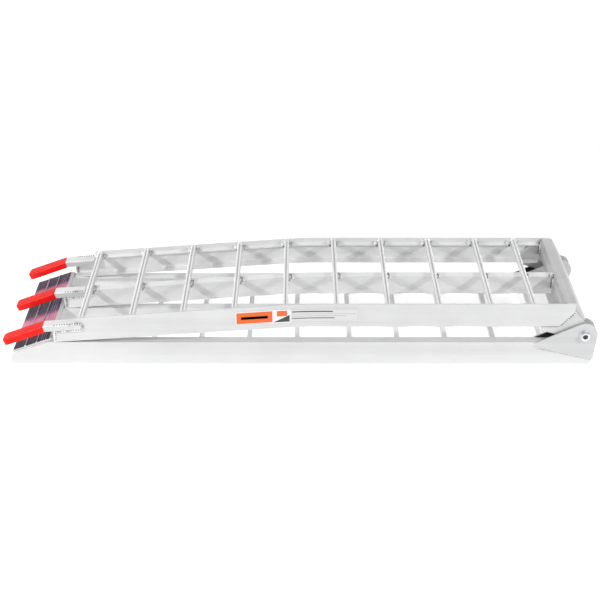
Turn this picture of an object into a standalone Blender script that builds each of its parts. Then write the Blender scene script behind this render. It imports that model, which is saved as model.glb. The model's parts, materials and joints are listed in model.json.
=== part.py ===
"""Folding loading ramp, folded flat: a straight lower section lying tread side down, and an
arched upper section folded back over it on two side hinges.

Frame: +X from the finger end to the hinge end, +Y from the near side to the far side, +Z up.
The origin is on the floor under the middle of the bounding box. Metres.

The upper section swings up and over about the hinge pins, whose axis is parallel to Y.
"""
import math

import bmesh
import bpy
from mathutils import Matrix, Vector

MM = 0.001
GAP = 0.3 * MM                      # between pieces that touch

# Driving dimensions
HALF_LENGTH = 593 * MM              # finger tips at -X, hinge plates at +X
WIDTH = 295 * MM                    # over the outer rails
RAIL_HEIGHT = 51 * MM
RAIL_FLANGE = 20 * MM               # flange on a section's underside
RAIL_WALL = 2.6 * MM
RAIL_LEDGE = 10 * MM                # ledge that carries the rung ends
SECTION_GAP = 36 * MM               # between the two undersides at the hinge
RUNG_WIDTH = 10 * MM
RUNG_HEIGHT = 12 * MM
RUNG_WALL = 1.8 * MM
RUNG_RIDGE_OUT = 4.1 * MM             # the two ridges, from the rung's centre line
RUNG_RIDGE_IN = 2.3 * MM
RUNG_SHOULDER = 1.2 * MM            # drop from a ridge to the rung's side
RUNG_GROOVE = 1.8 * MM              # depth of the groove between the ridges
RUNG_GROOVE_LEAN = 0.7 * MM
PIN_X = HALF_LENGTH - 25.5 * MM

# Upper section
UPPER_LEFT_X = -490.5 * MM          # end of the upper rails, which rests on the lower rails
BEND_START_X = -41 * MM
BEND_END_X = 49 * MM
BEND_STEPS = 6
UPPER_RAIL_END_X = 544 * MM
UPPER_RUNG_X = -434.5 * MM
UPPER_RUNG_PITCH = 101.6 * MM
UPPER_LAST_GAP = 84 * MM

# Lower section
LOWER_RUNG_MID_X = 49.5 * MM        # middle of the one wider space between rungs
LOWER_WIDE_SPACE = 108 * MM
LOWER_RUNG_PITCH = 99 * MM
LOWER_RAIL_END_X = 587.5 * MM
NOSE_X = -580.5 * MM
NOSE_Z = 14 * MM                    # height of the foremost point of the nose
NOSE_LEAN = 0.55                    # how far its upper face leans back, X per Z
CHAMFER = 6 * MM                    # at the foot of both rail ends
BEVEL_LOW = Vector((-573.5 * MM, 25 * MM))
BEVEL_HIGH = Vector((-501 * MM, RAIL_HEIGHT))
RUNGS_PER_SECTION = 10

# Ground plate
PLATE_THICK = 5 * MM
PLATE_HALF_WIDTH = 143 * MM
PLATE_END_X = UPPER_LEFT_X - 2 * MM
PLATE_RIB_WIDTH = 4 * MM
PLATE_RIB_HEIGHT = 1.2 * MM
PLATE_RIB_SHARES = (0.36, 0.68)     # where the two ribs stand along the slope

# Fingers
FINGER_DROP = RUNG_HEIGHT + GAP     # top of a finger, below the tread
FINGER_WIDTH = 25 * MM
FINGER_LEG = 12.5 * MM
FINGER_THICK = 3 * MM
FINGER_BEND_X = -507.5 * MM
FINGER_DIP = math.radians(20.4)     # below the horizontal
FINGER_ROOT_X = -446 * MM
TONGUE_END_X = -431.5 * MM
TONGUE_LAP = 12 * MM                # how far the tongue runs back inside the channel's leg
TONGUE_TOP = 2 * MM                 # below the top of the finger
TONGUE_HEIGHT = 11 * MM
TONGUE_RELIEF = 0.4 * MM            # the tongue is this much thinner than the leg
COVER_THICK = 1.3 * MM
COVER_TIP_ROUND = 11 * MM
COVER_TIP_STEPS = 4
COVER_TIP_NARROW = 0.5              # share of the cover's width left at its tip
COVER_END = 2 * MM                  # from the bend to the inner end of the cover
NOTCH_DEPTH = FINGER_DROP + FINGER_THICK + GAP

# Hinges
PLATE_GAUGE = 3 * MM                # hinge plates
LOWER_EYE_RADIUS = 25.5 * MM
UPPER_EYE_RADIUS = 16.5 * MM
BOLT_RADIUS = 5 * MM
BOLT_END = 1.5 * MM                 # how far the bolt shows past its nut
BOLT_LAP = 1 * MM                   # how far its shank runs into the head
HOLE_RADIUS = BOLT_RADIUS + GAP
HEAD_FLATS = 17 * MM
HEAD_HEIGHT = 6.4 * MM
NUT_HEIGHT = 8 * MM
WASHER_RADIUS = 10.5 * MM
WASHER_THICK = 1.5 * MM
LINER_THICK = 1.2 * MM
BUSH_RADIUS = 8 * MM
PLATE_TIP_X = 471.5 * MM
HINGE_EDGE_ANGLE = 116              # degrees, where the sloping edge leaves the eye
UPPER_PLATE_LEFT_X = 479.5 * MM
UPPER_PLATE_LEFT_TOP = 101 * MM
UPPER_PLATE_LEFT_LOW = (UPPER_PLATE_LEFT_X, 82 * MM)
UPPER_PLATE_HEEL = (483.5 * MM, 69.6 * MM)
UPPER_PLATE_NOTCH = (492.8 * MM, 73.4 * MM)     # top of the shallow notch in its lower edge
UPPER_PLATE_SHOULDER_X = 497 * MM
UPPER_EYE_ARC = (-101, 42)          # degrees, the part of the upper eye that is round
LOWER_PLATE_LEFT_Z = 41.5 * MM
LOWER_PLATE_HEEL = (589 * MM, 13 * MM)
LOWER_EYE_FOOT_ANGLE = -4           # degrees, where the outer plate's right edge leaves the eye
LINER_LEFT_X = 474 * MM
LINER_RIGHT_X = 517 * MM
LINER_INSET = 0.6 * MM              # the liner's sloping edge, below the hinge plate's
RAIL_CORNER_LOW = (517.2 * MM, 87.5 * MM)
RAIL_CORNER_TOP = (545.5 * MM, 119.5 * MM)

# Cross-members
BEAM_DEPTH = 39.5 * MM
BEAM_WALL = 2.5 * MM
BEAM_LEFT_X = 524.5 * MM
BEAM_TOP_X = 546.5 * MM
BEAM_STEP = 4 * MM                  # short upright foot of the sloping end face

# Label
LABEL_LOW_X = -126 * MM
LABEL_HIGH_X = 119 * MM
LABEL_TOP = 9.5 * MM                # below the tread
LABEL_HEIGHT = 30 * MM

# How the names of the pieces that swing start
UPPER_PIECES = ("upper_", "finger_", "label")

# Worked out
PIN_Z = RAIL_HEIGHT + SECTION_GAP / 2
TREAD_Z = 2 * PIN_Z                 # tread of the upper section at the hinge end
HALF_WIDTH = WIDTH / 2
WEB_INNER = HALF_WIDTH - RAIL_WALL
FLANGE_INNER = HALF_WIDTH - RAIL_FLANGE
MIDDLE_Y = -RAIL_FLANGE / 2
LOWER_OUTER_PLATE = (HALF_WIDTH + GAP, HALF_WIDTH + GAP + PLATE_GAUGE)
LOWER_INNER_PLATE = (FLANGE_INNER - GAP - PLATE_GAUGE, FLANGE_INNER - GAP)
UPPER_PLATE = (WEB_INNER - GAP - PLATE_GAUGE, WEB_INNER - GAP)
BEAM_HALF_WIDTH = UPPER_PLATE[0] - GAP
ARC_STEPS = 10
TONGUE_STEPS = 6
WIDE_ARC_STEPS = 14
CIRCLE_STEPS = 24
HEX_SIDES = 6
SMOOTH_ANGLE = math.radians(30)
CLEAR = 5 * MM                      # how far a cutter reaches past the piece it cuts
TINY = 0.001 * MM
WELD_DISTANCE = 0.01 * MM           # points this close are one

COLLECTION = bpy.data.collections.new("folding_loading_ramp")
CUTTERS = bpy.data.collections.new("cutters")


def clear_scene():
    for item in list(bpy.data.objects):
        bpy.data.objects.remove(item, do_unlink=True)
    bpy.context.scene.collection.children.link(COLLECTION)
    bpy.context.scene.collection.children.link(CUTTERS)


def principled(name, colour, roughness, metallic):
    """A Principled material for one piece."""
    made = bpy.data.materials.new(name)
    made.use_nodes = True
    shader = made.node_tree.nodes["Principled BSDF"]
    shader.inputs["Base Color"].default_value = (*colour, 1)
    shader.inputs["Roughness"].default_value = roughness
    shader.inputs["Metallic"].default_value = metallic
    made.diffuse_color = (*colour, 1)
    return made


FINISHES = {
    "aluminium": ((0.80, 0.81, 0.82), 0.35, 1.0),
    "steel": ((0.62, 0.63, 0.65), 0.28, 1.0),
    "red_vinyl": ((0.80, 0.03, 0.02), 0.38, 0.0),
    "dark_plate": ((0.05, 0.045, 0.06), 0.12, 0.6),
    "black_nylon": ((0.01, 0.01, 0.01), 0.5, 0.0),
    "label": ((0.85, 0.35, 0.08), 0.45, 0.0),
}


def finish_object(name, mesh, finish):
    """Put a mesh into the ramp's collection as one named node with its own material."""
    made = bpy.data.objects.new(name, mesh)
    COLLECTION.objects.link(made)
    mesh.materials.clear()
    mesh.materials.append(principled(name + "_" + finish, *FINISHES[finish]))
    return made


def hang_upper_section():
    """Hang every piece that swings from one empty on the axis of the hinge pins."""
    pivot = bpy.data.objects.new("section_fold_pivot", None)
    pivot.location = (PIN_X, 0, PIN_Z)
    COLLECTION.objects.link(pivot)
    bpy.context.view_layer.update()
    for item in COLLECTION.objects:
        if item.name.startswith(UPPER_PIECES):
            item.parent = pivot
            item.matrix_parent_inverse = pivot.matrix_world.inverted()


def arc(centre, radius, start, end, steps=ARC_STEPS):
    """Points on an arc, angles in degrees, both ends included."""
    points = []
    for step in range(steps + 1):
        angle = math.radians(start + (end - start) * step / steps)
        points.append((centre[0] + radius * math.cos(angle), centre[1] + radius * math.sin(angle)))
    return points


def circle(centre, radius, steps=CIRCLE_STEPS):
    return arc(centre, radius, 0, 360 - 360 / steps, steps - 1)


def extruded(outlines, low, high, frame):
    """A mesh: closed outlines, the first the outer one and the others holes, extruded from
    low to high along the third axis of frame."""
    data = bpy.data.curves.new("outline", "CURVE")
    data.dimensions = "2D"
    data.fill_mode = "BOTH"
    data.extrude = (high - low) / 2
    for points in outlines:
        spline = data.splines.new("POLY")
        spline.points.add(len(points) - 1)
        for point, (u, v) in zip(spline.points, points):
            point.co = (u, v, 0, 1)
        spline.use_cyclic_u = True
    guide = bpy.data.objects.new("outline", data)
    CUTTERS.objects.link(guide)
    bpy.context.view_layer.update()
    evaluated = guide.evaluated_get(bpy.context.evaluated_depsgraph_get())
    mesh = bpy.data.meshes.new_from_object(evaluated)
    bpy.data.objects.remove(guide, do_unlink=True)
    work = bmesh.new()
    work.from_mesh(mesh)
    bmesh.ops.remove_doubles(work, verts=work.verts, dist=WELD_DISTANCE)
    bmesh.ops.translate(work, verts=work.verts, vec=(0, 0, (low + high) / 2))
    bmesh.ops.transform(work, matrix=frame, verts=work.verts)
    bmesh.ops.recalc_face_normals(work, faces=work.faces)
    work.to_mesh(mesh)
    work.free()
    return mesh


# Extrusion frames: outline (u, v) and extrusion w as x, y, z
ALONG_X = Matrix(((0, 0, 1, 0), (1, 0, 0, 0), (0, 1, 0, 0), (0, 0, 0, 1)))
ALONG_Y = Matrix(((1, 0, 0, 0), (0, 0, 1, 0), (0, 1, 0, 0), (0, 0, 0, 1)))


def side_plate(outlines, side, span):
    """A plate from outlines in the XZ plane. side is -1 near, +1 far; span is its |Y| range."""
    low, high = sorted((side * span[0], side * span[1]))
    return extruded(outlines, low, high, ALONG_Y)


def box_cutter(low, high):
    """A hidden box to subtract, from its two corners."""
    low, high = Vector(low), Vector(high)
    work = bmesh.new()
    bmesh.ops.create_cube(work, size=1)
    bmesh.ops.scale(work, vec=high - low, verts=work.verts)
    bmesh.ops.translate(work, vec=(low + high) / 2, verts=work.verts)
    mesh = bpy.data.meshes.new("cutter")
    work.to_mesh(mesh)
    work.free()
    return mesh


def combined(mesh, tool, operation):
    """The mesh after a Boolean with the tool mesh."""
    base = bpy.data.objects.new("base", mesh)
    cutter = bpy.data.objects.new("cutter", tool)
    for item in (base, cutter):
        CUTTERS.objects.link(item)
    change = base.modifiers.new("combine", "BOOLEAN")
    change.operation = operation
    change.solver = "EXACT"
    change.object = cutter
    bpy.context.view_layer.update()
    evaluated = base.evaluated_get(bpy.context.evaluated_depsgraph_get())
    result = bpy.data.meshes.new_from_object(evaluated)
    for item in (base, cutter):
        bpy.data.objects.remove(item, do_unlink=True)
    return result


def sliced(mesh, point, normal, cut_away=False):
    """Add a loop of edges on a plane; with cut_away the side that normal points to goes."""
    work = bmesh.new()
    work.from_mesh(mesh)
    geometry = list(work.verts) + list(work.edges) + list(work.faces)
    found = bmesh.ops.bisect_plane(
        work, geom=geometry, dist=TINY, plane_co=point, plane_no=normal, clear_outer=cut_away)
    if cut_away:
        edges = [item for item in found["geom_cut"] if isinstance(item, bmesh.types.BMEdge)]
        bmesh.ops.holes_fill(work, edges=edges, sides=0)
        bmesh.ops.recalc_face_normals(work, faces=work.faces)
    work.to_mesh(mesh)
    work.free()
    return mesh


def sheared(mesh, stations, height):
    """Give the mesh a loop of edges at each station X and raise each point by height(x)."""
    for station in stations:
        mesh = sliced(mesh, (station, 0, 0), (1, 0, 0))
    for vertex in mesh.vertices:
        vertex.co.z += height(vertex.co.x)
    return mesh


# The arch: a straight leg rises from the finger end, then a smooth bend, then a level leg
LEFT_TREAD_Z = 2 * RAIL_HEIGHT + GAP
ARCH_SLOPE = (TREAD_Z - LEFT_TREAD_Z) / (
    (BEND_START_X - UPPER_LEFT_X) + (BEND_END_X - BEND_START_X) / 2)
BEND_STATIONS = [
    BEND_START_X + (BEND_END_X - BEND_START_X) * step / BEND_STEPS for step in range(BEND_STEPS + 1)]


def arch(x):
    """Height of the upper section's tread."""
    if x <= BEND_START_X:
        return LEFT_TREAD_Z + ARCH_SLOPE * (x - UPPER_LEFT_X)
    if x >= BEND_END_X:
        return TREAD_Z
    left = (BEND_END_X - x) / (BEND_END_X - BEND_START_X)
    return TREAD_Z - ARCH_SLOPE * (BEND_END_X - BEND_START_X) * left * left / 2


def arch_slope(x):
    step = 1 * MM
    return (arch(x + step) - arch(x - step)) / (2 * step)


def outer_rail_profile(side):
    """Outer rail section, as (y, depth below the tread): a web, a ledge and a bottom flange."""
    ledge_top = RUNG_HEIGHT + GAP
    inward = [
        (0, 0), (RAIL_WALL, 0),
        (RAIL_WALL, ledge_top), (RAIL_LEDGE, ledge_top),
        (RAIL_LEDGE, ledge_top + RAIL_WALL), (RAIL_WALL, ledge_top + RAIL_WALL),
        (RAIL_WALL, RAIL_HEIGHT - RAIL_WALL), (RAIL_FLANGE, RAIL_HEIGHT - RAIL_WALL),
        (RAIL_FLANGE, RAIL_HEIGHT), (0, RAIL_HEIGHT),
    ]
    return [(side * (HALF_WIDTH - y), -depth) for y, depth in inward]


def middle_rail_profile():
    """Middle rail section: a channel whose top flange carries the rungs."""
    top = RUNG_HEIGHT + GAP
    points = [
        (0, top), (RAIL_FLANGE, top),
        (RAIL_FLANGE, top + RAIL_WALL), (RAIL_WALL, top + RAIL_WALL),
        (RAIL_WALL, RAIL_HEIGHT - RAIL_WALL), (RAIL_FLANGE, RAIL_HEIGHT - RAIL_WALL),
        (RAIL_FLANGE, RAIL_HEIGHT), (0, RAIL_HEIGHT),
    ]
    return [(MIDDLE_Y + y, -depth) for y, depth in points]


RAILS = {"near": -1, "middle": 0, "far": 1}


def rail_profile(side):
    return outer_rail_profile(side) if side else middle_rail_profile()


def inside_box(side, low_x, high_x, low_z, high_z, depth=RAIL_FLANGE):
    """A cutter for what is inside an outer rail's web, to a depth from the web."""
    low_y, high_y = sorted((side * (WEB_INNER - GAP / 2), side * (WEB_INNER - depth)))
    return box_cutter((low_x, low_y, low_z), (high_x, high_y, high_z))


def upper_rail(name, side):
    """Bent rail. It is cut straight, with the tread at Z = 0, and then raised to the arch."""
    end_x = UPPER_RAIL_END_X if side else BEAM_LEFT_X - GAP
    mesh = extruded([rail_profile(side)], UPPER_LEFT_X, end_x, ALONG_X)
    notch = box_cutter(
        (UPPER_LEFT_X - CLEAR, -WIDTH, -NOTCH_DEPTH), (FINGER_ROOT_X + GAP, WIDTH, CLEAR))
    mesh = combined(mesh, notch, "DIFFERENCE")
    if side:
        ledge_end = inside_box(side, BEAM_LEFT_X - GAP, end_x + CLEAR, -RAIL_HEIGHT / 2, CLEAR)
        mesh = combined(mesh, ledge_end, "DIFFERENCE")
        flange_z = (-RAIL_HEIGHT - CLEAR, -RAIL_HEIGHT / 2)
        plate_slot = inside_box(
            side, UPPER_PLATE_LEFT_X - GAP, end_x + CLEAR, *flange_z, WEB_INNER - UPPER_PLATE[0] + GAP)
        mesh = combined(mesh, plate_slot, "DIFFERENCE")
        flange_end = inside_box(side, BEAM_LEFT_X - GAP, end_x + CLEAR, *flange_z)
        mesh = combined(mesh, flange_end, "DIFFERENCE")
        diagonal = Vector(RAIL_CORNER_TOP) - Vector(RAIL_CORNER_LOW)
        mesh = sliced(
            mesh, (RAIL_CORNER_LOW[0], 0, RAIL_CORNER_LOW[1] - TREAD_Z),
            (diagonal.y, 0, -diagonal.x), cut_away=True)
    mesh = sheared(mesh, BEND_STATIONS, arch)
    return finish_object(name, mesh, "aluminium")


def lower_rail(name, side):
    """Straight rail, tread side down, with a bevelled nose at the ground end."""
    end_x = LOWER_RAIL_END_X if side else BEAM_TOP_X - GAP
    profile = [(y, -v) for y, v in rail_profile(side)]
    mesh = extruded([profile], NOSE_X, end_x, ALONG_X)
    bevel = BEVEL_HIGH - BEVEL_LOW
    mesh = sliced(mesh, (BEVEL_LOW.x, 0, BEVEL_LOW.y), (-bevel.y, 0, bevel.x), cut_away=True)
    mesh = sliced(mesh, (NOSE_X, 0, NOSE_Z), (-1, 0, NOSE_LEAN), cut_away=True)
    if side:
        mesh = sliced(mesh, (NOSE_X, 0, CHAMFER), (-1, 0, -1), cut_away=True)
        inside = inside_box(side, BEAM_TOP_X - GAP, end_x + CLEAR, -CLEAR, RAIL_HEIGHT + CLEAR)
        mesh = combined(mesh, inside, "DIFFERENCE")
        mesh = sliced(mesh, (end_x, 0, CHAMFER), (1, 0, -1), cut_away=True)
    return finish_object(name, mesh, "aluminium")


def rung_mesh():
    """Hollow rung with two ridges along its top, which is at Z = 0; it runs along Y."""
    half = RUNG_WIDTH / 2
    groove = RUNG_RIDGE_IN - RUNG_GROOVE_LEAN
    outer = [
        (-half, -RUNG_HEIGHT), (half, -RUNG_HEIGHT), (half, -RUNG_SHOULDER), (RUNG_RIDGE_OUT, 0),
        (RUNG_RIDGE_IN, 0), (groove, -RUNG_GROOVE), (-groove, -RUNG_GROOVE),
        (-RUNG_RIDGE_IN, 0), (-RUNG_RIDGE_OUT, 0), (-half, -RUNG_SHOULDER),
    ]
    side = half - RUNG_WALL
    top = -RUNG_GROOVE - RUNG_WALL
    bottom = -RUNG_HEIGHT + RUNG_WALL
    inner = [(-side, bottom), (side, bottom), (side, top), (-side, top)]
    reach = WEB_INNER - GAP
    return extruded([outer, inner], -reach, reach, ALONG_Y)


def upper_rung_places():
    places = [UPPER_RUNG_X + UPPER_RUNG_PITCH * index for index in range(RUNGS_PER_SECTION - 1)]
    return places + [places[-1] + UPPER_LAST_GAP]


def lower_rung_places():
    half = RUNGS_PER_SECTION // 2
    steps = [LOWER_WIDE_SPACE / 2 + LOWER_RUNG_PITCH * index for index in range(half)]
    return [LOWER_RUNG_MID_X - step for step in reversed(steps)] + [
        LOWER_RUNG_MID_X + step for step in steps]


def rungs():
    """Ten rungs in each section, each its own object; the upper ones follow the arch."""
    for index, x in enumerate(upper_rung_places(), 1):
        made = finish_object(f"upper_rung_{index:02d}", rung_mesh(), "aluminium")
        made.location = (x, 0, arch(x))
        made.rotation_euler = (0, -math.atan(arch_slope(x)), 0)
    for index, x in enumerate(lower_rung_places(), 1):
        made = finish_object(f"lower_rung_{index:02d}", rung_mesh(), "aluminium")
        made.location = (x, 0, 0)
        made.rotation_euler = (0, math.pi, 0)


def beam(name, outer):
    """Hollow cross-member from its outline in the XZ plane, walls of BEAM_WALL."""
    inner = []
    count = len(outer)
    points = [Vector(point) for point in outer]
    for index, point in enumerate(points):
        before = (point - points[index - 1]).normalized()
        after = (points[(index + 1) % count] - point).normalized()
        normal_before = Vector((-before.y, before.x))
        normal_after = Vector((-after.y, after.x))
        bisector = (normal_before + normal_after).normalized()
        inner.append(point + bisector * BEAM_WALL / bisector.dot(normal_before))
    mesh = extruded([outer, inner], -BEAM_HALF_WIDTH, BEAM_HALF_WIDTH, ALONG_Y)
    return finish_object(name, mesh, "aluminium")


def cross_members():
    """End beams whose sloping faces meet when the ramp is open."""
    foot_x = PIN_X - GAP
    low_z = TREAD_Z - BEAM_DEPTH
    beam("upper_cross_member", [
        (BEAM_LEFT_X, low_z), (foot_x, low_z), (foot_x, low_z + BEAM_STEP),
        (BEAM_TOP_X, TREAD_Z), (BEAM_LEFT_X, TREAD_Z)])
    toe_x = 2 * PIN_X - BEAM_TOP_X - 2 * GAP
    beam("lower_cross_member", [
        (BEAM_TOP_X, 0), (toe_x, 0), (foot_x, BEAM_DEPTH - BEAM_STEP),
        (foot_x, BEAM_DEPTH), (BEAM_TOP_X, BEAM_DEPTH)])


def ground_plate():
    """Foot plate over the bevelled rail ends: a ribbed slope and a short level lip."""
    slope = (BEVEL_HIGH - BEVEL_LOW).normalized()
    out = Vector((-slope.y, slope.x))
    length = (BEVEL_HIGH - BEVEL_LOW).length
    start = BEVEL_LOW + out * GAP
    ribs = []
    for share in PLATE_RIB_SHARES:
        middle = length * share
        ribs += [
            (middle - PLATE_RIB_WIDTH / 2 - PLATE_RIB_HEIGHT, 0),
            (middle - PLATE_RIB_WIDTH / 2, PLATE_RIB_HEIGHT),
            (middle + PLATE_RIB_WIDTH / 2, PLATE_RIB_HEIGHT),
            (middle + PLATE_RIB_WIDTH / 2 + PLATE_RIB_HEIGHT, 0),
        ]
    surface = [(0, 0)] + ribs + [(length, 0)]
    top = [start + slope * along + out * (PLATE_THICK + up) for along, up in surface]
    lip_z = RAIL_HEIGHT + GAP
    outline = [tuple(point) for point in top]
    outline += [(PLATE_END_X, lip_z + PLATE_THICK), (PLATE_END_X, lip_z)]
    outline += [(BEVEL_HIGH.x, lip_z), tuple(start)]
    mesh = extruded([outline], -PLATE_HALF_WIDTH, PLATE_HALF_WIDTH, ALONG_Y)
    return finish_object("ground_plate", mesh, "dark_plate")


def channel_profile(outer_y, side, width, leg, thick, top):
    """Channel open below, as (y, z). outer_y is its outer face, side where that face looks."""
    points = [
        (0, top), (width, top), (width, top - leg), (width - thick, top - leg),
        (width - thick, top - thick), (thick, top - thick), (thick, top - leg), (0, top - leg),
    ]
    return [(outer_y - side * y, z) for y, z in points]


def dipped(mesh, top):
    """Bend a straight channel, whose top is at Z = top, down at FINGER_BEND_X. The bend is
    mitred, the part to its left stays straight, and the part to its right follows the arch."""
    mesh = sliced(mesh, (FINGER_BEND_X, 0, 0), (1, 0, 0))
    for vertex in mesh.vertices:
        ahead = FINGER_BEND_X - vertex.co.x
        depth = top - vertex.co.z
        if ahead > TINY:
            vertex.co.x = FINGER_BEND_X - ahead * math.cos(FINGER_DIP) + depth * math.sin(FINGER_DIP)
            vertex.co.z = top - ahead * math.sin(FINGER_DIP) - depth * math.cos(FINGER_DIP)
            vertex.co.z += arch(FINGER_BEND_X)
        else:
            if ahead > -TINY:
                vertex.co.x += depth * math.tan(FINGER_DIP / 2)
            vertex.co.z += arch(vertex.co.x)
    return mesh


def finger(label, side):
    """Attaching finger: a bent channel over the rail's end, and a tongue along its web."""
    facing = side or -1
    face = facing * HALF_WIDTH if side else MIDDLE_Y
    outer_y = face + facing * (GAP + FINGER_THICK)
    reach = HALF_LENGTH + FINGER_BEND_X - COVER_THICK * math.sin(FINGER_DIP)
    cover_tip_x = FINGER_BEND_X - reach / math.cos(FINGER_DIP)
    tip_x = cover_tip_x + COVER_TIP_ROUND
    profile = channel_profile(outer_y, facing, FINGER_WIDTH, FINGER_LEG, FINGER_THICK, -FINGER_DROP)
    mesh = extruded([profile], tip_x, FINGER_ROOT_X, ALONG_X)
    tongue_top = -FINGER_DROP - TONGUE_TOP
    radius = TONGUE_HEIGHT / 2
    tongue = arc((TONGUE_END_X - radius, tongue_top - radius), radius, -90, 90, TONGUE_STEPS)
    tongue += [
        (FINGER_ROOT_X - TONGUE_LAP, tongue_top), (FINGER_ROOT_X - TONGUE_LAP, tongue_top - 2 * radius)]
    low, high = sorted((face + facing * GAP, outer_y - facing * TONGUE_RELIEF))
    mesh = combined(mesh, extruded([tongue], low, high, ALONG_Y), "UNION")
    mesh = dipped(mesh, -FINGER_DROP)
    finish_object(f"finger_{label}", mesh, "aluminium")

    cover_profile = channel_profile(
        outer_y + facing * COVER_THICK, facing, FINGER_WIDTH + 2 * COVER_THICK,
        FINGER_LEG + 2 * COVER_THICK, FINGER_THICK + 2 * COVER_THICK, -FINGER_DROP + COVER_THICK)
    cover = extruded([cover_profile], cover_tip_x, FINGER_BEND_X - COVER_END, ALONG_X)
    slot_profile = channel_profile(
        outer_y + facing * GAP, facing, FINGER_WIDTH + 2 * GAP,
        FINGER_LEG + 2 * GAP, FINGER_THICK + 2 * GAP, -FINGER_DROP + GAP)
    slot = extruded([slot_profile], tip_x - GAP, FINGER_BEND_X + CLEAR, ALONG_X)
    cover = combined(cover, slot, "DIFFERENCE")
    for step in range(1, COVER_TIP_STEPS + 1):
        along = COVER_TIP_ROUND * (1 - math.cos(math.pi / 2 * step / COVER_TIP_STEPS))
        cover = sliced(cover, (cover_tip_x + along, 0, 0), (1, 0, 0))
    centre_y = outer_y - facing * FINGER_WIDTH / 2
    for vertex in cover.vertices:
        along = (vertex.co.x - cover_tip_x) / COVER_TIP_ROUND
        if along < 1:
            round_share = math.sqrt(max(0, 1 - (1 - along) ** 2))
            narrow = COVER_TIP_NARROW + (1 - COVER_TIP_NARROW) * round_share
            vertex.co.y = centre_y + (vertex.co.y - centre_y) * narrow
    cover = dipped(cover, -FINGER_DROP)
    finish_object(f"finger_cover_{label}", cover, "red_vinyl")


# Hinge plate outlines, (x, z)
PIN = (PIN_X, PIN_Z)
TIP_TOP = (PLATE_TIP_X, RAIL_HEIGHT - GAP)
EDGE_TOP = arc(PIN, LOWER_EYE_RADIUS, HINGE_EDGE_ANGLE, HINGE_EDGE_ANGLE, 1)[0]


def lower_outer_outline():
    return [(PLATE_TIP_X, LOWER_PLATE_LEFT_Z), LOWER_PLATE_HEEL] + arc(
        PIN, LOWER_EYE_RADIUS, LOWER_EYE_FOOT_ANGLE, HINGE_EDGE_ANGLE) + [TIP_TOP]


def lower_inner_outline():
    low_z = PIN_Z - LOWER_EYE_RADIUS
    return [(PLATE_TIP_X, low_z)] + arc(
        PIN, LOWER_EYE_RADIUS, -90, HINGE_EDGE_ANGLE, WIDE_ARC_STEPS) + [TIP_TOP]


def liner_outline():
    """Under the sloping edge of a lower plate, above the rail and short of the washers."""
    low_z = RAIL_HEIGHT + GAP
    share = (LINER_RIGHT_X - PLATE_TIP_X) / (EDGE_TOP[0] - PLATE_TIP_X)
    high_z = TIP_TOP[1] + share * (EDGE_TOP[1] - TIP_TOP[1]) - LINER_INSET
    return [(LINER_LEFT_X, low_z), (LINER_RIGHT_X, low_z), (LINER_RIGHT_X, high_z)]


def upper_plate_outline():
    left_top = (UPPER_PLATE_LEFT_X, UPPER_PLATE_LEFT_TOP)
    return [left_top, UPPER_PLATE_LEFT_LOW, UPPER_PLATE_HEEL, UPPER_PLATE_NOTCH] + arc(
        PIN, UPPER_EYE_RADIUS, *UPPER_EYE_ARC) + [
        RAIL_CORNER_TOP, (UPPER_PLATE_SHOULDER_X, RAIL_CORNER_TOP[1])]


def cylinder(side, span, radius, sides):
    """A solid cylinder or hexagonal prism on the pin."""
    low, high = sorted((side * span[0], side * span[1]))
    work = bmesh.new()
    bmesh.ops.create_cone(
        work, cap_ends=True, segments=sides, radius1=radius, radius2=radius, depth=high - low)
    bmesh.ops.rotate(work, matrix=Matrix.Rotation(math.pi / 2, 3, "X"), verts=work.verts)
    bmesh.ops.translate(work, vec=(PIN_X, (low + high) / 2, PIN_Z), verts=work.verts)
    mesh = bpy.data.meshes.new("cylinder")
    work.to_mesh(mesh)
    work.free()
    return mesh


def turned(name, side, span, radius, bore, finish, sides=CIRCLE_STEPS):
    """A washer, bush or nut on the pin."""
    outer = circle(PIN, radius, sides)
    mesh = side_plate([outer, circle(PIN, bore)], side, span)
    made = finish_object(name, mesh, finish)
    if sides == CIRCLE_STEPS:
        mesh.shade_smooth()
        mesh.set_sharp_from_angle(angle=SMOOTH_ANGLE)
    return made


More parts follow.
